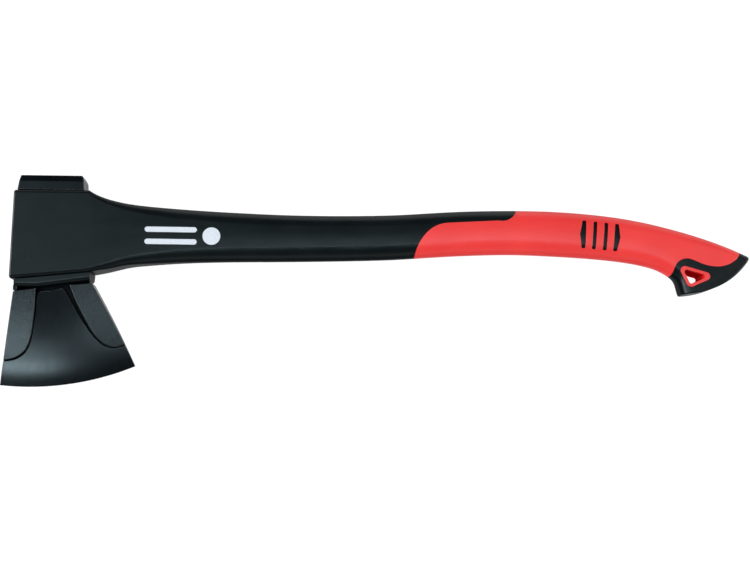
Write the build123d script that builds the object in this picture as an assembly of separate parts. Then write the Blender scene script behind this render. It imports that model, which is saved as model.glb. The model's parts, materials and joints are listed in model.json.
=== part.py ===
from build123d import *
import math
import os

# Long-handled splitting axe with a flat hammer poll, lying on its side.
#
# A forged steel head is held in the moulded socket of a glass-filled nylon handle,
# which carries a fibre core, a red soft grip and a hooked butt with a hang hole.
#
# +X runs along the handle from the head to the butt, +Y points at the poll and
# -Y at the cutting edge, and Z is the thickness of the axe, so that the part lies
# on a flat side at z = 0. It is drawn about its middle plane and moved at the end,
# which puts the origin at the bottom centre of the whole axe.

# --- overall ---
DEEP = 60.0  # half depth of every cutting prism, past both sides of the axe
PLANE_SPAN = 1000.0  # wider than the whole axe

# --- forged head ---
EDGE_CENTRE = (-327.0, 149.3)  # centre of the cutting edge's arc
EDGE_RADIUS = 248.1
TOE_X = -353.5
HEEL_X = -231.2
HEEL_SIDE = (-251.3, -40.0)  # point that bows the head's rear side a little
HEAD_REAR = (-272.1, -3.0)  # top of the rear side, just under the collar
HEAD_FRONT = (-342.9, -10.0)
POLL_TOP = 97.6
POLL_SHOULDER = 83.6
POLL_HALF = 13.0
POLL_BEVEL_DROP = 5.5
POLL_BEVEL_IN = 2.4
POLL_BREAK = 0.6
SHANK_HALF = 10.5
SHANK_FRONT_X = -341.0
SHANK_REAR_X = -281.0
NECK_TOP_Y = 4.0
NECK_FRONT_X = -340.0
NECK_REAR_X = -276.2
NECK_BEAD_REAR_X = -339.5
NECK_BEAD_LOW_Y = -10.6
NECK_BEAD_TOP_Y = -5.8
NECK_BEAD_HALF = 11.3
NECK_STEP = 1.8  # how far the wide part of the head rises under the collar at the front

# Half thickness of the blade at a distance in from the cutting edge.
BLADE_PROFILE = [(0.0, 0.25), (8.0, 1.6), (30.0, 4.0), (44.0, 5.2), (62.0, 6.4), (82.0, 7.4), (110.0, 8.2)]
CHEEK_PROFILE = [(16.0, 2.9), (34.0, 5.2), (60.0, 8.0), (86.0, 10.2), (110.0, 11.8)]
FLOOR_PROFILE = [(8.0, 0.9), (20.0, 1.7), (34.0, 2.7), (60.0, 4.1), (82.0, 5.0), (110.0, 5.6)]
CHEEK_BREAK = 0.5  # broken edge round each cheek plate

# --- socket and handle ---
SOCKET_HALF = 17.0
SOCKET_SKIM = 0.05  # planed off each side of the socket, which leaves it truly flat
SOCKET_CORNER = 3.6
SHAFT_END_X = 250.0
FIRST_STEP = 6.0  # spacing of the sections at the neck
STEP_GROWTH = 1.25
LONGEST_STEP = 28.0
LEAST_CORNER = 1.2  # smallest corner radius of an inset section
LEAST_CROWN = 0.02
CROWN_SHARE = 0.045  # how far the sides bow out, as a share of the corner's growth from the socket
SOCKET_FRONT = ((-344.7, 82.7), (-346.1, -0.6))  # top and bottom of the front end
SOCKET_REAR_X = -276.0
SOCKET_ROUND = 2.0

# Sections of the handle: place along it, top, bottom, half width, corner radius.
NECK_AND_SHAFT = [
    (SOCKET_REAR_X, 82.9, 6.3, SOCKET_HALF + SOCKET_SKIM, SOCKET_CORNER),
    (-268.0, 78.4, 7.6, 16.9, 4.4),
    (-256.0, 74.5, 9.9, 16.6, 5.8),
    (-240.0, 71.4, 13.5, 16.1, 7.6),
    (-220.0, 69.6, 15.4, 15.5, 9.6),
    (-190.0, 67.8, 17.3, 14.8, 11.6),
    (-150.0, 65.9, 18.6, 14.3, 12.8),
    (-80.0, 63.8, 19.6, 14.0, 13.4),
    (0.0, 64.8, 21.9, 14.0, 13.4),
    (70.0, 69.2, 26.5, 14.5, 13.8),
    (120.0, 70.7, 28.2, 15.0, 14.2),
    (160.0, 70.3, 27.1, 15.0, 14.2),
    (200.0, 67.8, 24.9, 14.6, 13.8),
    (235.0, 63.4, 21.2, 14.2, 13.4),
    (250.0, 60.6, 18.3, 14.0, 13.0),
]
BUTT_SECTIONS = [
    ((264.0, 57.4), (262.0, 14.8), 13.9, 12.4),
    ((279.2, 53.4), (273.0, 9.3), 13.8, 11.4),
    ((294.6, 48.9), (278.8, 4.4), 13.7, 10.4),
    ((310.8, 43.6), (281.2, -1.0), 13.5, 9.4),
    ((328.0, 37.2), (282.6, -6.6), 13.4, 8.8),
    ((346.0, 29.4), (284.0, -13.0), 13.2, 8.4),
    ((363.0, 20.9), (286.4, -24.0), 13.0, 8.0),
]
BUTT_LINE = [
    (272.0, -11.3), (283.4, -9.9), (303.6, -7.0), (316.8, -2.5), (327.8, 3.3), (341.2, 14.5), (349.6, 25.0)
]
BUTT_SHOULDER = (348.0, 28.4)
BUTT_ROUND = 1.5

# --- soft grip ---
GRIP_THICK = 3.0
RIB_INSET = 0.9
SLOT_WIDTH = 3.7
SLOT_BULGE = 2.2
SLOT_ROUND = 1.3
SLOTS = [  # top and bottom of each slot's centre line, and which side bulges
    ((189.8, 58.2), (188.2, 35.2), -1),
    ((200.4, 57.2), (198.2, 34.3), 0),
    ((211.0, 56.2), (208.6, 33.4), 0),
    ((221.2, 55.2), (218.6, 32.6), 1),
]

# --- inside the handle ---
CORE_INSET = 8.4
CORE_START_X = -270.0
CORE_END_X = 256.0
CAP_JOINT_X = 250.0
PIN_RADIUS = 4.0
PIN_HALF = 14.0
PIN_PLACES = [(-311.0, 60.0), (-311.0, 24.0)]

# --- hang hole ---
HOLE_CORNERS = [(278.0, 19.2), (317.1, 8.2), (288.8, -4.2)]
HOLE_ROUNDS = [4.0, 3.9, 4.6]
LINER_WALL = 2.8
LINER_ROUND = 2.2  # corners of the liner's own opening
LINER_PROUD = 0.5

# --- collar under the socket ---
COLLAR_HALF = 14.0
COLLAR_ROUND = 4.0
COLLAR_DEEP = 10.0  # longer than the collar is high
COLLAR_LOW_Y = -4.1  # the middles of the lower edges lie under this height
COLLAR_OUTLINE = [
    (-341.9, -7.2), (-321.0, -7.5), (-273.5, -1.1), (-272.9, 6.3), (-276.0, 5.8), (-341.9, -0.8),
]


def prism(face):
    """A face in the middle plane, carried through the whole thickness."""
    return Pos(0, 0, -DEEP) * extrude(face, 2 * DEEP)


def polygon(points):
    return make_face(Polyline(*points, close=True))


def section(top, bottom, half_width, corner, inset=0.0):
    """A rounded oblong with bowed sides across the handle, standing from bottom to top."""
    high = Vector(*top, 0)
    low = Vector(*bottom, 0)
    centre = (high + low) * 0.5
    along = (high - low).normalized()
    depth = (high - low).length / 2 - inset
    width = half_width - inset
    radius = max(corner - inset, LEAST_CORNER)
    crown = max(CROWN_SHARE * (corner - SOCKET_CORNER), LEAST_CROWN)
    reach = depth - radius  # how far the corner's centre is from the middle
    flank_radius = (reach**2 + crown**2) / (2 * crown) + radius
    side = width - flank_radius + math.sqrt((flank_radius - radius) ** 2 - reach**2)
    lean = math.asin(reach / (flank_radius - radius))
    turns = [lean, lean / 2 + math.pi / 4, math.pi / 2]

    def place(up, out):
        return centre + along * up + Vector(0, 0, out)

    def corner_arc(up, out):
        points = [
            place(up * (reach + radius * math.sin(turn)), out * (side + radius * math.cos(turn)))
            for turn in turns
        ]
        return points if up * out < 0 else points[::-1]

    edges = []
    for out in (1, -1):
        first = corner_arc(out, out)
        second = corner_arc(-out, out)
        third_start = corner_arc(-out, -out)[0]
        edges.append(Edge.make_three_point_arc(*first))
        edges.append(Edge.make_three_point_arc(first[2], place(0, out * width), second[0]))
        edges.append(Edge.make_three_point_arc(*second))
        edges.append(Edge.make_line(second[2], third_start))
    return Wire(edges)


def slope(row, column):
    """How fast one column of the section table changes at a row."""
    low = NECK_AND_SHAFT[max(row - 1, 0)]
    high = NECK_AND_SHAFT[min(row + 1, len(NECK_AND_SHAFT) - 1)]
    return (high[column] - low[column]) / (high[0] - low[0])


def station(x):
    """Top, bottom, half width and corner radius at x, on smooth curves through the table."""
    row = max(i for i, entry in enumerate(NECK_AND_SHAFT[:-1]) if entry[0] <= x)
    start = NECK_AND_SHAFT[row]
    end = NECK_AND_SHAFT[row + 1]
    span = end[0] - start[0]
    t = (x - start[0]) / span
    values = []
    for column in range(1, 5):
        rise = start[column] * (2 * t**3 - 3 * t**2 + 1) + end[column] * (3 * t**2 - 2 * t**3)
        lean = slope(row, column) * (t**3 - 2 * t**2 + t) + slope(row + 1, column) * (t**3 - t**2)
        values.append(rise + lean * span)
    return values


def section_places():
    """Places of the sections along neck and shaft: close at the neck, wider further on."""
    places = []
    x = SOCKET_REAR_X
    step = FIRST_STEP
    while x < SHAFT_END_X - 0.6 * step:
        places.append(x)
        x = x + step
        step = min(step * STEP_GROWTH, LONGEST_STEP)
    return places + [SHAFT_END_X]


def handle_solid(inset):
    """Neck, shaft, grip and butt as one smooth solid, before the butt is trimmed."""
    wires = []
    for x in section_places():
        top, bottom, half, corner = station(x)
        wires.append(section((x, top), (x, bottom), half, corner, inset))
    for top, bottom, half, corner in BUTT_SECTIONS:
        wires.append(section(top, bottom, half, corner, inset))
    return Solid.make_loft(wires)


def butt_trim():
    """Everything on the handle's side of the rounded butt end."""
    hook = BUTT_LINE[0]
    tip = BUTT_LINE[-1]
    lower = Spline(*BUTT_LINE)
    upper = Line(tip, BUTT_SHOULDER)
    rest = Polyline(BUTT_SHOULDER, (345, 120), (-400, 120), (-400, -60), (268, -60), hook)
    return prism(make_face([lower, upper, rest]))


def handle_end(solid):
    """The handle trimmed at its butt, with the edge of the end rounded."""
    trimmed = solid & butt_trim()
    end_face = trimmed.faces().filter_by(GeomType.EXTRUSION).sort_by(SortBy.AREA)[-1]
    return fillet(end_face.edges(), BUTT_ROUND)


def socket_block():
    """The flat-sided block that holds the head."""
    x, top, bottom, half, corner = NECK_AND_SHAFT[0]
    front = section(*SOCKET_FRONT, half, corner)
    rear = section((x, top), (x, bottom), half, corner)
    block = Solid.make_loft([front, rear], ruled=True)
    return fillet(block.faces().sort_by(Axis.X)[0].edges(), SOCKET_ROUND)


def outer_form():
    """The whole handle, planed flat on both sides of the socket."""
    whole = handle_end(handle_solid(0)) + socket_block()
    return whole & Box(PLANE_SPAN, PLANE_SPAN, 2 * SOCKET_HALF)


def ring_solid(profile):
    """A lens turned about the edge centre: its thickness follows the distance in."""
    rim = [(EDGE_RADIUS - depth, half) for depth, half in profile]
    inner = rim[-1][0]
    upper = Spline(*[(r, 0, z) for r, z in rim])
    lower = Spline(*[(r, 0, -z) for r, z in rim])
    outer_close = Line((rim[0][0], 0, rim[0][1]), (rim[0][0], 0, -rim[0][1]))
    inner_close = Line((inner, 0, rim[-1][1]), (inner, 0, -rim[-1][1]))
    lens = revolve(make_face([upper, lower, outer_close, inner_close]), Axis.Z, 360)
    return lens.moved(Location((*EDGE_CENTRE, 0)))


def edge_y(x):
    """Height of the cutting edge at x."""
    return EDGE_CENTRE[1] - math.sqrt(EDGE_RADIUS**2 - (x - EDGE_CENTRE[0]) ** 2)


def blade_outline():
    toe = (TOE_X, edge_y(TOE_X))
    heel = (HEEL_X, edge_y(HEEL_X))
    middle_x = (TOE_X + HEEL_X) / 2
    edge = ThreePointArc(toe, (middle_x, edge_y(middle_x)), heel)
    rear = ThreePointArc(heel, HEEL_SIDE, HEAD_REAR)
    neck_low = HEAD_FRONT[1] + NECK_STEP
    rest = Polyline(
        HEAD_REAR, (NECK_REAR_X, HEAD_REAR[1]), (NECK_REAR_X, NECK_TOP_Y), (NECK_FRONT_X, NECK_TOP_Y),
        (NECK_FRONT_X, neck_low), (HEAD_FRONT[0], neck_low), HEAD_FRONT, toe
    )
    return make_face([edge, rear, rest])


def raised_ground():
    """Region above the tongue and the lower blade, where the head is cut lower."""
    toe_seam = Spline(
        (-360.0, -75.9), (-349.7, -75.5), (-342.4, -74.5), (-336.1, -71.9), (-330.7, -67.4),
        (-326.5, -59.3), (-324.0, -47.0), (-322.2, -28.0), (-321.0, -13.1)
    )
    tongue_top = Spline(
        (-321.0, -13.1), (-317.7, -11.6), (-313.7, -10.9), (-309.6, -11.0), (-303.7, -9.5), (-299.2, -8.4)
    )
    tongue_corner = Line((-299.2, -8.4), (-297.2, -9.9))
    heel_seam = Spline(
        (-297.2, -9.9), (-285.0, -30.5), (-275.9, -44.5), (-266.4, -56.1), (-258.9, -61.5),
        (-250.0, -63.1), (-240.6, -60.5), (-225.0, -51.5)
    )
    rest = Polyline((-225.0, -51.5), (-225.0, 30.0), (-360.0, 30.0), (-360.0, -75.9))
    return make_face([toe_seam, tongue_top, tongue_corner, heel_seam, rest])


def toe_cheek_face():
    seam = Spline(
        (-322.7, -8.6), (-323.1, -24.0), (-324.7, -43.0), (-327.6, -58.6), (-331.7, -66.2),
        (-336.7, -70.5), (-342.4, -73.1), (-349.6, -74.1), (-360.0, -74.4)
    )
    rest = Polyline((-360.0, -74.4), (-360.0, -14.2), (-322.7, -8.6))
    return make_face([seam, rest])


def heel_cheek_face():
    seam = Spline(
        (-292.0, -5.3), (-285.1, -21.9), (-275.8, -39.4), (-264.9, -55.2), (-258.1, -59.9),
        (-250.0, -62.0), (-241.1, -59.4), (-225.0, -50.2)
    )
    rest = Polyline((-225.0, -50.2), (-225.0, 0.7), (-292.0, -5.3))
    return make_face([seam, rest])


def poll():
    """Hammer poll: bevelled on both sides of its struck face, all edges broken."""
    side = polygon(
        [(-342.4, POLL_SHOULDER), (-340.0, POLL_TOP), (-283.6, POLL_TOP), (-282.0, POLL_TOP - 3.4),
         (-281.4, POLL_SHOULDER)]
    )
    shoulder = POLL_TOP - POLL_BEVEL_DROP
    flat = POLL_HALF - POLL_BEVEL_IN
    end_points = [
        (POLL_SHOULDER, -POLL_HALF), (shoulder, -POLL_HALF), (POLL_TOP, -flat),
        (POLL_TOP, flat), (shoulder, POLL_HALF), (POLL_SHOULDER, POLL_HALF),
    ]
    end = polygon([(0, y, z) for y, z in end_points])
    block = prism(side) & extrude(end, 400, dir=(-1, 0, 0))
    upper = block.edges().filter_by(lambda edge: edge.center().Y > POLL_SHOULDER + 0.1)
    return chamfer(upper, POLL_BREAK)


def shank():
    """The part of the head that the socket holds."""
    outline = polygon(
        [(SHANK_FRONT_X, NECK_TOP_Y), (SHANK_FRONT_X, POLL_SHOULDER), (SHANK_REAR_X, POLL_SHOULDER),
         (SHANK_REAR_X, 20.0), (-277.0, NECK_TOP_Y)]
    )
    return extrude(outline, SHANK_HALF, both=True)


def neck_bead():
    """Upright bead at the front of the neck that closes the gap under the collar."""
    corner = (HEAD_FRONT[0], NECK_BEAD_LOW_Y)
    opposite = (NECK_BEAD_REAR_X, NECK_BEAD_TOP_Y)
    outline = polygon([corner, (opposite[0], corner[1]), opposite, (corner[0], opposite[1])])
    return extrude(outline, NECK_BEAD_HALF, both=True)


def lock_pins():
    return [Pos(x, y, 0) * Cylinder(PIN_RADIUS, 2 * PIN_HALF) for x, y in PIN_PLACES]


def cheek_pair(face, stock):
    """The two cheek plates of one outline, with their outer edges broken."""
    plates = (prism(face) & stock).solids().sort_by(Axis.Z)
    finished = []
    for plate in plates:
        outer = max(plate.faces(), key=lambda side: abs(side.center().Z) * (side.area > 1000))
        finished.append(plate.chamfer(CHEEK_BREAK, None, outer.edges()))
    return finished


def head_and_cheeks():
    """The forged head, then the front and back plates at its toe and at its heel."""
    floor = ring_solid(FLOOR_PROFILE)
    outline = prism(blade_outline())
    blade = outline & ring_solid(BLADE_PROFILE)
    blade = blade - (prism(raised_ground()) - floor)
    head = blade + shank() + poll() + neck_bead()
    for pin in lock_pins():
        head = head - pin
    stock = (outline & ring_solid(CHEEK_PROFILE)) - floor
    toe = cheek_pair(toe_cheek_face(), stock)
    heel = cheek_pair(heel_cheek_face(), stock)
    return head, toe, heel


def slot_face(top, bottom, bulge_side):
    """One window of the grip: a narrow upright slot, pointed outwards on one side."""
    half = SLOT_WIDTH / 2
    left_bow = half + (SLOT_BULGE if bulge_side < 0 else 0)
    right_bow = half + (SLOT_BULGE if bulge_side > 0 else 0)
    middle = ((top[0] + bottom[0]) / 2, (top[1] + bottom[1]) / 2)
    outline = polygon([
        (top[0] - half, top[1] + half), (top[0] + half, top[1] + half), (middle[0] + right_bow, middle[1]),
        (bottom[0] + half, bottom[1] - half), (bottom[0] - half, bottom[1] - half),
        (middle[0] - left_bow, middle[1]),
    ])
    return fillet(outline.vertices(), SLOT_ROUND)


def windows():
    return [prism(slot_face(*slot)) for slot in SLOTS]


def grip_zone():
    """Region of the side view that the red soft grip covers."""
    front_rise = Spline((27.0, 20.0), (32.0, 36.9), (42.4, 49.8), (58.8, 56.2))
    front_run = Line((58.8, 56.2), (108.0, 58.9))
    front_hook = Spline((108.0, 58.9), (119.0, 61.1), (124.6, 68.0), (126.0, 76.0))
    over = Polyline((126.0, 76.0), (126.0, 95.0), (341.0, 95.0), (341.0, 33.0))
    rear = Spline(
        (341.0, 33.0), (336.5, 24.8), (327.0, 18.7), (315.5, 16.9), (299.2, 20.9),
        (287.5, 24.4), (278.6, 20.4), (274.4, 10.6), (271.0, 2.0)
    )
    under = Polyline((271.0, 2.0), (269.0, -40.0), (27.0, -40.0), (27.0, 20.0))
    return prism(make_face([front_rise, front_run, front_hook, over, rear, under]))


def hole_outline():
    """Opening of the butt cap that takes the liner."""
    face = polygon(HOLE_CORNERS)
    for corner, radius in zip(HOLE_CORNERS, HOLE_ROUNDS):
        vertex = face.vertices().sort_by_distance(Vector(*corner, 0))[0]
        face = fillet(vertex, radius)
    return face


def liner_opening():
    """Opening that stays free inside the liner."""
    face = offset(polygon(HOLE_CORNERS), -LINER_WALL, kind=Kind.INTERSECTION)
    return fillet(face.vertices(), LINER_ROUND)


def beyond(x):
    """Half space past a place on the handle."""
    return Pos(x + 250, 0, 0) * Box(500, 500, 4 * DEEP)


def fibre_core():
    core = handle_solid(CORE_INSET)
    core = core - beyond(CORE_END_X)
    return core & beyond(CORE_START_X)


def collar(head):
    """Moulded ring under the socket, well rounded along its lower edges."""
    ring = Pos(0, 0, -COLLAR_HALF) * extrude(polygon(COLLAR_OUTLINE), 2 * COLLAR_HALF)
    on_sides = ring.edges().filter_by(lambda edge: abs(abs(edge.center().Z) - COLLAR_HALF) < 0.01)
    lower = [edge for edge in on_sides if edge.center().Y < COLLAR_LOW_Y and edge.length > COLLAR_DEEP]
    return fillet(lower, COLLAR_ROUND) - head


def handle_parts(head, pins):
    """Shell, core, grip, butt cap and hang hole liner, which share one outer form."""
    full = outer_form()
    rib_level = handle_solid(RIB_INSET)
    core = fibre_core()

    grip = (full & grip_zone()) - handle_solid(GRIP_THICK)
    shell = full - grip - core - head
    for window in windows():
        grip = grip - window
        shell = shell + ((window & rib_level) - core)
    for pin in pins:
        shell = shell - pin

    hole = prism(hole_outline())
    liner = (hole & handle_solid(-LINER_PROUD)) - prism(liner_opening())
    past_joint = beyond(CAP_JOINT_X)
    return {
        "handle_shell": shell - past_joint,
        "fibre_core": core,
        "soft_grip": grip,
        "butt_cap": (shell & past_joint) - hole,
        "hang_hole_liner": liner,
    }


def build():
    """Every node by name, drawn about the middle plane."""
    head, toe, heel = head_and_cheeks()
    pins = lock_pins()
    nodes = {
        "axe_head": head,
        "toe_cheek_back": toe[0],
        "toe_cheek_front": toe[1],
        "heel_cheek_back": heel[0],
        "heel_cheek_front": heel[1],
        "head_lock_pins": pins[0] + pins[1],
        "socket_collar": collar(head),
    }
    nodes.update(handle_parts(head, pins))
    return nodes


def main():
    nodes = build()
    boxes = [shape.bounding_box() for shape in nodes.values()]
    low = [min(tuple(box.min)[axis] for box in boxes) for axis in range(3)]
    high = [max(tuple(box.max)[axis] for box in boxes) for axis in range(3)]
    to_origin = Location((-(low[0] + high[0]) / 2, -(low[1] + high[1]) / 2, -low[2]))
    print("moved by", to_origin.position, "size", [b - a for a, b in zip(low, high)])
    os.makedirs("parts", exist_ok=True)
    for name, shape in nodes.items():
        placed = shape.moved(to_origin)
        print(name, round(placed.volume), len(placed.solids()), placed.is_valid)
        export_step(placed, f"parts/{name}.step")


if __name__ == "__main__":
    main()
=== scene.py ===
"""Looks for the splitting axe: materials for every CAD node, a printed mark, floor, lights, camera."""
import json
import math

import bpy
from mathutils import Matrix, Vector
from mathutils.bvhtree import BVHTree


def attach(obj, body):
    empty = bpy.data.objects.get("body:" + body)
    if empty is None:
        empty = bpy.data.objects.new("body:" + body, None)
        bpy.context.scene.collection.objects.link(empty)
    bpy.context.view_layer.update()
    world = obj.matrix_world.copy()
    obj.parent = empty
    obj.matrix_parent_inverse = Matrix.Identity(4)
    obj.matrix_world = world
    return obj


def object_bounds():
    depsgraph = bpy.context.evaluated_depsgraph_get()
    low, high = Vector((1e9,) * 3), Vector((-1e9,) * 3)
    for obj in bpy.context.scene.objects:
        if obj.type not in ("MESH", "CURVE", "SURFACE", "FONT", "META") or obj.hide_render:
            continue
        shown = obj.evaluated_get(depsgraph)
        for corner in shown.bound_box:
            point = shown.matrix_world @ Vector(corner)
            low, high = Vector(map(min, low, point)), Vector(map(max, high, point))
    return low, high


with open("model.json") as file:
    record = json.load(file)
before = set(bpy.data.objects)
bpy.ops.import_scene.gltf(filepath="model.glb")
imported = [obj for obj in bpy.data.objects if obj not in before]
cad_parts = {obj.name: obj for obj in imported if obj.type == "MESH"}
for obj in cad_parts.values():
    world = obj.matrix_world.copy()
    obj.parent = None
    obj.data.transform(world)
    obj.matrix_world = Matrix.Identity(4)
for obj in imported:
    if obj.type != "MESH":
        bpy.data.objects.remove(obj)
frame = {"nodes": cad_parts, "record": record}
cad_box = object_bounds()

MM = 0.001
MIDDLE_Z = (cad_box[0][2] + cad_box[1][2]) / 2  # the axe is the same on both sides of this height


# ---------------------------------------------------------------- material helpers
RAY_SAMPLES = 8  # rays that the bevel and occlusion nodes send out at each point
EDGE_START, EDGE_FULL = 0.985, 0.90  # how far the rounded normal turns from the face's on an edge
HOLLOW_FULL, HOLLOW_END = 0.35, 0.85  # open sky seen deep in a hollow and at its mouth
HOLLOW_DULL = 0.8  # depth in a hollow at which the gloss has gone
WALL_TILT, SIDE_TILT = 0.45, 0.90  # how much of the normal is upright on a wall and on a broad side
CLOUD_LOW, CLOUD_HIGH = 0.3, 0.7  # span of the noise that a soft mottle uses


class Shader:
    """A small builder around one material's node tree."""

    def __init__(self, name):
        self.material = bpy.data.materials.new(name)
        self.material.use_nodes = True
        self.nodes = self.material.node_tree.nodes
        self.links = self.material.node_tree.links
        self.surface = self.nodes["Principled BSDF"]
        self.place = self.add("ShaderNodeTexCoord").outputs["Object"]

    def add(self, kind, **settings):
        node = self.nodes.new(kind)
        for key, value in settings.items():
            setattr(node, key, value)
        return node

    def link(self, source, target):
        self.links.new(source, target)

    def set(self, **sockets):
        """Plain values straight on the shader: Base_Color=(r, g, b), Roughness=0.4 and so on."""
        for key, value in sockets.items():
            socket = self.surface.inputs[key.replace("_", " ")]
            socket.default_value = (*value, 1.0) if isinstance(value, tuple) else value

    def scaled(self, scale):
        mapping = self.add("ShaderNodeMapping")
        mapping.inputs["Scale"].default_value = scale
        self.link(self.place, mapping.inputs["Vector"])
        return mapping.outputs["Vector"]

    def noise(self, scale, detail=4.0, rough=0.5, stretch=(1, 1, 1)):
        node = self.add("ShaderNodeTexNoise")
        node.inputs["Scale"].default_value = scale
        node.inputs["Detail"].default_value = detail
        node.inputs["Roughness"].default_value = rough
        self.link(self.scaled(stretch), node.inputs["Vector"])
        return node.outputs["Fac"]

    def mottle(self, cloud, low, high):
        """Soft clouds from one colour or number to another."""
        if isinstance(low, tuple):
            return self.mix(self.ramp(cloud, CLOUD_LOW, CLOUD_HIGH, 0.0, 1.0), low, high)
        return self.ramp(cloud, CLOUD_LOW, CLOUD_HIGH, low, high)

    def pits(self, scale):
        node = self.add("ShaderNodeTexVoronoi")
        node.inputs["Scale"].default_value = scale
        self.link(self.place, node.inputs["Vector"])
        return node.outputs["Distance"]

    def ramp(self, source, low, high, out_low, out_high):
        node = self.add("ShaderNodeMapRange", interpolation_type="SMOOTHSTEP")
        node.inputs["From Min"].default_value = low
        node.inputs["From Max"].default_value = high
        node.inputs["To Min"].default_value = out_low
        node.inputs["To Max"].default_value = out_high
        self.link(source, node.inputs["Value"])
        return node.outputs["Result"]

    def math(self, operation, first, second):
        node = self.add("ShaderNodeMath", operation=operation)
        for socket, value in zip(node.inputs, (first, second)):
            if isinstance(value, (int, float)):
                socket.default_value = value
            else:
                self.link(value, socket)
        return node.outputs["Value"]

    def mix(self, factor, first, second):
        node = self.add("ShaderNodeMix", data_type="RGBA")
        self.link(factor, node.inputs["Factor"])
        for socket, value in zip((node.inputs[6], node.inputs[7]), (first, second)):
            if isinstance(value, tuple):
                socket.default_value = (*value, 1.0)
            else:
                self.link(value, socket)
        return node.outputs[2]

    def bevel(self, radius):
        node = self.add("ShaderNodeBevel", samples=RAY_SAMPLES)
        node.inputs["Radius"].default_value = radius
        return node.outputs["Normal"]

    def edge_mask(self, radius):
        """1 on the outer edges of the piece, 0 on its flats."""
        rounded = self.bevel(radius)
        flat = self.add("ShaderNodeNewGeometry").outputs["Normal"]
        dot = self.add("ShaderNodeVectorMath", operation="DOT_PRODUCT")
        self.link(rounded, dot.inputs[0])
        self.link(flat, dot.inputs[1])
        return self.ramp(dot.outputs["Value"], EDGE_START, EDGE_FULL, 0.0, 1.0)

    def hollow_mask(self, reach):
        """1 deep in gaps and grooves narrower than the reach, 0 on open faces."""
        node = self.add("ShaderNodeAmbientOcclusion", samples=RAY_SAMPLES)
        node.inputs["Distance"].default_value = reach
        return self.ramp(node.outputs["AO"], HOLLOW_FULL, HOLLOW_END, 1.0, 0.0)

    def broad_sides(self, on_walls, on_sides):
        """A value for the steep walls of the axe that passes to another on its broad sides."""
        normal = self.add("ShaderNodeNewGeometry").outputs["Normal"]
        parts = self.add("ShaderNodeSeparateXYZ")
        self.link(normal, parts.inputs["Vector"])
        upright = self.math("ABSOLUTE", parts.outputs["Z"], 0.0)
        return self.ramp(upright, WALL_TILT, SIDE_TILT, on_walls, on_sides)

    def gloss(self, hollow, on_walls, on_sides):
        """Reflection that is weak on the walls, full on the broad sides and gone deep in hollows."""
        clear = self.ramp(hollow, 0.0, HOLLOW_DULL, 1.0, 0.0)
        self.out("Specular IOR Level", self.math("MULTIPLY", clear, self.broad_sides(on_walls, on_sides)))

    def bump(self, height, strength, distance, normal=None):
        node = self.add("ShaderNodeBump")
        node.inputs["Strength"].default_value = strength
        node.inputs["Distance"].default_value = distance
        self.link(height, node.inputs["Height"])
        if normal is not None:
            self.link(normal, node.inputs["Normal"])
        return node.outputs["Normal"]

    def separate(self):
        node = self.add("ShaderNodeSeparateXYZ")
        self.link(self.place, node.inputs["Vector"])
        return node.outputs

    def out(self, socket, source):
        self.link(source, self.surface.inputs[socket])


NYLON = ((0.0018, 0.0034, 0.0040), (0.0028, 0.0046, 0.0052))
NYLON_GLOSS = (0.008, 0.26)  # on the walls and on the broad sides
SEAM_HALF = (0.08 * MM, 0.28 * MM)  # half width of the parting line's top and of its foot
BLADE_STEEL = ((0.0014, 0.0022, 0.0030), (0.0024, 0.0034, 0.0046))
CHEEK_STEEL = ((0.0018, 0.0028, 0.0036), (0.0045, 0.0062, 0.0076))
BLADE_GLOSS = 0.21
CHEEK_GLOSS = 0.27
WALL_GLOSS = 0.1  # share of the steel's gloss that its steep walls keep
# lighter edge colour: partly a worn coat, partly a painted highlight on the broken edges
EDGE_WEAR_AND_HIGHLIGHT = (0.075, 0.082, 0.090)
# painted shade: near-black colour laid into the head's grooves and gaps, where shade falls
GROOVE_PAINTED_SHADE = (0.0008, 0.0009, 0.0010)
GROOVE_REACH = 7.0 * MM
EDGE_WEAR_AND_HIGHLIGHT_WIDTH = 0.9 * MM
EDGE_HIGHLIGHT_FOOT = (-72.0 * MM, -55.0 * MM)  # levels between which the lighter edges, partly wear and partly painted highlight, fade in above the cutting edge
RUBBER = ((0.66, 0.032, 0.030), (0.71, 0.037, 0.034))
RUBBER_GLOSS = (0.05, 0.45)
# painted shade: darker red for the walls deep in the hang hole
HANG_HOLE_PAINTED_SHADE = (0.56, 0.004, 0.003)
HANG_HOLE_REACH = 14.0 * MM
FIBRE = ((0.55, 0.49, 0.32), (0.74, 0.70, 0.55))
TURNED_STEEL = (0.56, 0.56, 0.57)
INK = ((0.50, 0.51, 0.55), (0.56, 0.57, 0.61))


def black_nylon():
    """Glass-filled nylon: dark grey-green black, fine moulded grain, a parting line round the middle."""
    shader = Shader("black_nylon")
    shader.out("Specular IOR Level", shader.broad_sides(*NYLON_GLOSS))
    shader.out("Base Color", shader.mottle(shader.noise(38.0, 3.0), *NYLON))
    rub = shader.noise(120.0, 6.0, 0.6, (0.25, 1, 1))
    shader.out("Roughness", shader.ramp(rub, 0.25, 0.75, 0.27, 0.34))
    grain = shader.noise(2600.0, 2.0, 0.6)
    normal = shader.bump(grain, 0.16, 0.00006, shader.bevel(0.0005))
    seam_height = shader.math("ABSOLUTE", shader.math("SUBTRACT", shader.separate()["Z"], MIDDLE_Z), 0.0)
    seam = shader.ramp(seam_height, *SEAM_HALF, 1.0, 0.0)
    shader.out("Normal", shader.bump(seam, 0.5, 0.00012, normal))
    return shader.material


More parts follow.
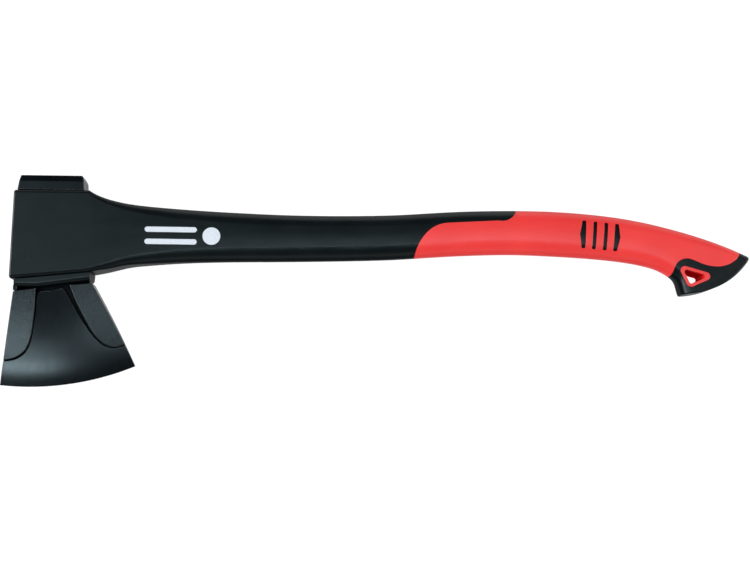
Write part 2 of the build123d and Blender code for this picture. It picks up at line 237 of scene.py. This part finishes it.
def coated_steel(name, coat_colours, gloss):
    """Steel under a thin black coat. Its edges are lighter, partly from wear and partly from a painted
    highlight. Its grooves carry painted shade, near-black and without gloss.
    """
    shader = Shader(name)
    hollow = shader.hollow_mask(GROOVE_REACH)
    # the edges' lighter colour is partly wear and partly a painted highlight, broken up by noise and kept
    # off the cutting edge
    edge_breakup = shader.ramp(shader.noise(260.0, 5.0), 0.42, 0.62, 0.35, 0.9)
    edge_wear_and_highlight = shader.math("MULTIPLY", shader.edge_mask(EDGE_WEAR_AND_HIGHLIGHT_WIDTH), edge_breakup)
    above_edge = shader.ramp(shader.separate()["Y"], *EDGE_HIGHLIGHT_FOOT, 0.0, 1.0)
    edge_wear_and_highlight = shader.math("MULTIPLY", edge_wear_and_highlight, above_edge)
    coat = shader.mix(edge_wear_and_highlight, shader.mottle(shader.noise(30.0, 4.0), *coat_colours), EDGE_WEAR_AND_HIGHLIGHT)
    # painted shade: the coat's colour goes to near-black deep in grooves and gaps
    shader.out("Base Color", shader.mix(hollow, coat, GROOVE_PAINTED_SHADE))
    shader.gloss(hollow, WALL_GLOSS * gloss, gloss)
    return shader


def head_steel():
    """Forged and ground steel: smooth satin, faint grinding lines."""
    shader = coated_steel("head_steel", BLADE_STEEL, BLADE_GLOSS)
    grinding = shader.noise(900.0, 3.0, 0.6, (1.0, 0.06, 1.0))
    shader.out("Roughness", shader.ramp(grinding, 0.2, 0.8, 0.15, 0.20))
    normal = shader.bump(grinding, 0.10, 0.00004, shader.bevel(0.0006))
    shader.out("Normal", shader.bump(shader.noise(60.0, 3.0), 0.12, 0.0003, normal))
    return shader.material


def cheek_steel():
    """As-forged cheek plates: coarser, finely pitted and duller than the ground blade."""
    shader = coated_steel("cheek_steel", CHEEK_STEEL, CHEEK_GLOSS)
    speckle = shader.noise(1300.0, 3.0, 0.7)
    shader.out("Roughness", shader.ramp(speckle, 0.3, 0.7, 0.20, 0.30))
    normal = shader.bump(shader.pits(1500.0), 0.35, 0.00008, shader.bevel(0.0005))
    shader.out("Normal", shader.bump(shader.noise(170.0, 4.0), 0.25, 0.00025, normal))
    return shader.material


def red_rubber():
    """Soft-touch rubber: saturated red, satin, with a very fine grain, and painted shade deep in the hang
    hole.
    """
    shader = Shader("red_rubber")
    hollow = shader.hollow_mask(HANG_HOLE_REACH)
    shader.gloss(hollow, *RUBBER_GLOSS)
    tone = shader.mottle(shader.noise(26.0, 4.0), *RUBBER)
    # painted shade: the red darkens deep in the hang hole
    shader.out("Base Color", shader.mix(hollow, tone, HANG_HOLE_PAINTED_SHADE))
    handled = shader.noise(70.0, 5.0, 0.6, (0.4, 1, 1))
    shader.out("Roughness", shader.ramp(handled, 0.25, 0.75, 0.33, 0.42))
    grain = shader.noise(2300.0, 2.0, 0.6)
    shader.out("Normal", shader.bump(grain, 0.14, 0.00006, shader.bevel(0.0005)))
    return shader.material


def glass_fibre():
    """Resin-bonded glass fibre, streaked along the handle."""
    shader = Shader("glass_fibre")
    strands = shader.noise(700.0, 4.0, 0.6, (0.02, 1, 1))
    shader.out("Base Color", shader.mix(strands, *FIBRE))
    shader.out("Roughness", shader.ramp(strands, 0.3, 0.7, 0.35, 0.55))
    shader.out("Normal", shader.bump(strands, 0.3, 0.0001))
    return shader.material


def pin_steel():
    """Plain turned steel."""
    shader = Shader("pin_steel")
    shader.set(Base_Color=TURNED_STEEL, Metallic=1.0)
    turning = shader.noise(1500.0, 2.0, 0.5, (1, 1, 0.05))
    shader.out("Roughness", shader.ramp(turning, 0.3, 0.7, 0.25, 0.40))
    shader.out("Normal", shader.bump(turning, 0.15, 0.00003))
    return shader.material


def white_ink():
    """Pad-printed ink, very slightly mottled."""
    shader = Shader("white_ink")
    cloud = shader.noise(900.0, 4.0)
    shader.out("Base Color", shader.mottle(cloud, *INK))
    shader.out("Roughness", shader.mottle(cloud, 0.45, 0.55))
    shader.out("Normal", shader.bump(cloud, 0.1, 0.00003))
    return shader.material


FINISHES = {
    "head_steel": head_steel,
    "cheek_steel": cheek_steel,
    "black_nylon": black_nylon,
    "red_rubber": red_rubber,
    "glass_fibre": glass_fibre,
    "pin_steel": pin_steel,
}


def finish_cad_nodes():
    """Gives every CAD node the material of its slot in the record."""
    made = {slot: make() for slot, make in FINISHES.items()}
    for part in frame["record"]["subparts"]:
        node = frame["nodes"][part["node"]]
        node.data.materials.clear()
        node.data.materials.append(made[part["material_slot"]])


# ---------------------------------------------------------------- printed mark
MARK_LEFT = -222.0 * MM
STRIPE_LENGTH = 48.0 * MM
STRIPE_HEIGHT = 5.0 * MM
STRIPE_LEVELS = (35.8 * MM, 47.2 * MM)  # heights of the two stripes' centre lines
DISC_CENTRE = (-160.5 * MM, 41.5 * MM)
DISC_RADIUS = 8.2 * MM
INK_THICK = 0.10 * MM
INK_COLUMNS, INK_ROWS = 64, 8
END_MARGIN = 0.002  # share of a patch's length left off at each pointed end
ABOVE_HANDLE = 0.1  # height above or below the middle from which the ink is dropped on the handle


def stripe_outline(level):
    """Place of a point on a stripe with round ends: u runs along it, v across it."""
    radius = STRIPE_HEIGHT / 2

    def point(u, v):
        x = u * STRIPE_LENGTH
        end = min(x, STRIPE_LENGTH - x, radius)
        return MARK_LEFT + x, level + v * math.sqrt(radius**2 - (radius - end) ** 2)

    return point


def disc_outline(u, v):
    """Place of a point on the disc, in columns from its left to its right end."""
    x = DISC_RADIUS * math.cos(math.pi * (1 - u))
    y = DISC_RADIUS * math.sin(math.pi * u) * v
    return DISC_CENTRE[0] + x, DISC_CENTRE[1] + y


def printed_patch(name, outline, side, surface):
    """A thin patch of ink that lies on the handle's upper or lower side."""
    vertices = []
    for i in range(INK_COLUMNS + 1):
        for j in range(INK_ROWS + 1):
            u = END_MARGIN + (1 - 2 * END_MARGIN) * i / INK_COLUMNS
            x, y = outline(u, 2 * j / INK_ROWS - 1)
            start = Vector((x, y, MIDDLE_Z + side * ABOVE_HANDLE))
            vertices.append(surface.ray_cast(start, Vector((0, 0, -side)))[0])
    faces = []
    for i in range(INK_COLUMNS):
        for j in range(INK_ROWS):
            a = i * (INK_ROWS + 1) + j
            b = a + INK_ROWS + 1
            corners = (a, b, b + 1, a + 1)
            faces.append(corners if side > 0 else corners[::-1])
    mesh = bpy.data.meshes.new(name)
    mesh.from_pydata(vertices, [], faces)
    patch = bpy.data.objects.new(name, mesh)
    bpy.context.scene.collection.objects.link(patch)
    skin = patch.modifiers.new("ink", "SOLIDIFY")
    skin.thickness = INK_THICK
    skin.offset = 0.0
    return patch


def print_marks():
    """Two plain stripes and a disc in white ink on each side of the neck."""
    shell = frame["nodes"]["handle_shell"]
    surface = BVHTree.FromPolygons(
        [v.co for v in shell.data.vertices], [p.vertices for p in shell.data.polygons]
    )
    ink = white_ink()
    low, high = STRIPE_LEVELS
    shapes = {"stripe_low": stripe_outline(low), "stripe_high": stripe_outline(high), "disc": disc_outline}
    for side, label in ((1, "upper"), (-1, "lower")):
        for shape, outline in shapes.items():
            patch = printed_patch(f"printed_{shape}_{label}", outline, side, surface)
            patch.data.materials.append(ink)
            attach(patch, "root")


# ---------------------------------------------------------------- floor, light, camera
FLOOR_SIZE = 80.0  # large enough to reach the horizon in low views
FLOOR_GAP = 0.2 * MM
TABLE_GREY = (0.15, 0.15, 0.15)
TABLE_GLOW = 0.93
WHITE = (1.0, 1.0, 1.0)
COOL = (0.72, 0.97, 1.06)
STRIP_HEIGHT = 1.75
OVERHEAD = {  # x, y, width, depth, power in watts
    "head_strip": (-1.08, -0.345, 0.9, 0.14, 9.8),
    "shaft_strip": (0.2, -0.12, 1.4, 0.14, 6.2),
    "socket_fill": (-1.05, 0.37, 0.9, 0.34, 1.4),
    "shaft_fill": (0.1, 0.2, 1.2, 0.26, 0.9),
}
BANKS = {"head_bank": (-2.0, 68.0), "butt_bank": (2.0, 41.0)}  # x, power in watts
BANK_HEIGHT = 1.15
BANK_WIDTH, BANK_DEPTH = 1.6, 0.9
WALL_FADE = (0.20, 0.28)  # steepness of the view between which the pale walls end
WALL_GLOW, ROOF_GLOW = 1.0, 0.04


def studio_floor():
    """A plain white table that glows a little, as a lit product table does."""
    bpy.ops.mesh.primitive_plane_add(size=FLOOR_SIZE, location=(0, 0, cad_box[0][2] - FLOOR_GAP))
    floor = bpy.context.object
    floor.name = "studio_floor"
    shader = Shader("white_table")
    shader.set(Base_Color=TABLE_GREY, Roughness=0.9, Specular_IOR_Level=0.0)
    shader.set(Emission_Color=WHITE, Emission_Strength=TABLE_GLOW)
    floor.data.materials.append(shader.material)


def soft_box(name, place, aim, width, depth, power, tint):
    """A rectangular lamp at one point that faces another."""
    light = bpy.data.lights.new(name, "AREA")
    light.color = tint
    light.shape = "RECTANGLE"
    light.size = width
    light.size_y = depth
    light.energy = power
    lamp = bpy.data.objects.new(name, light)
    lamp.location = place
    direction = Vector(aim) - Vector(place)
    lamp.rotation_euler = direction.to_track_quat("-Z", "Y").to_euler()
    bpy.context.scene.collection.objects.link(lamp)


def studio_light():
    """Narrow soft boxes straight above the head and the handle, and a large bank past each end."""
    for name, (x, y, width, depth, power) in OVERHEAD.items():
        soft_box(name, (x, y, STRIP_HEIGHT), (x, y, 0.0), width, depth, power, COOL)
    for name, (x, power) in BANKS.items():
        soft_box(name, (x, 0.0, BANK_HEIGHT), (0.0, 0.0, 0.0), BANK_WIDTH, BANK_DEPTH, power, WHITE)
    studio_walls()
    bpy.context.scene.view_settings.view_transform = "Standard"


def studio_walls():
    """A dim studio whose walls are pale low down, like the table."""
    world = bpy.data.worlds.new("studio")
    world.use_nodes = True
    nodes = world.node_tree.nodes
    links = world.node_tree.links
    background = nodes["Background"]
    background.inputs["Color"].default_value = (*WHITE, 1.0)
    direction = nodes.new("ShaderNodeSeparateXYZ")
    links.new(nodes.new("ShaderNodeTexCoord").outputs["Generated"], direction.inputs["Vector"])
    fade = nodes.new("ShaderNodeMapRange")
    fade.inputs["From Min"].default_value = WALL_FADE[0]
    fade.inputs["From Max"].default_value = WALL_FADE[1]
    fade.inputs["To Min"].default_value = WALL_GLOW
    fade.inputs["To Max"].default_value = ROOF_GLOW
    links.new(direction.outputs["Z"], fade.inputs["Value"])
    links.new(fade.outputs["Result"], background.inputs["Strength"])
    bpy.context.scene.world = world


VIEW_TARGET = Vector((-0.0071, 0.0026, 0.017))
VIEW_FROM = Vector((-0.061, -0.14, 1.0))  # direction from the axe to the camera
VIEW_DISTANCE = 1.1
VIEW_SPAN = 0.7095  # width that the picture covers at the target
SENSOR_WIDTH = 36.0  # millimetres


def photo_camera():
    """Straight above, from a little to the head's side and below the handle."""
    data = bpy.data.cameras.new("camera")
    data.sensor_width = SENSOR_WIDTH
    data.lens = SENSOR_WIDTH * VIEW_DISTANCE / VIEW_SPAN
    camera = bpy.data.objects.new("camera", data)
    back = VIEW_FROM.normalized()
    right = Vector((0, 1, 0)).cross(back).normalized()
    up = back.cross(right)
    camera.matrix_world = matrix_of(right, up, back, VIEW_TARGET + back * VIEW_DISTANCE)
    bpy.context.scene.collection.objects.link(camera)
    bpy.context.scene.camera = camera


def matrix_of(right, up, back, place):
    """The matrix of an object with these three directions as its own axes."""
    rows = [(right[i], up[i], back[i], place[i]) for i in range(3)]
    return Matrix((*rows, (0, 0, 0, 1)))


finish_cad_nodes()
print_marks()
studio_floor()
studio_light()
photo_camera()
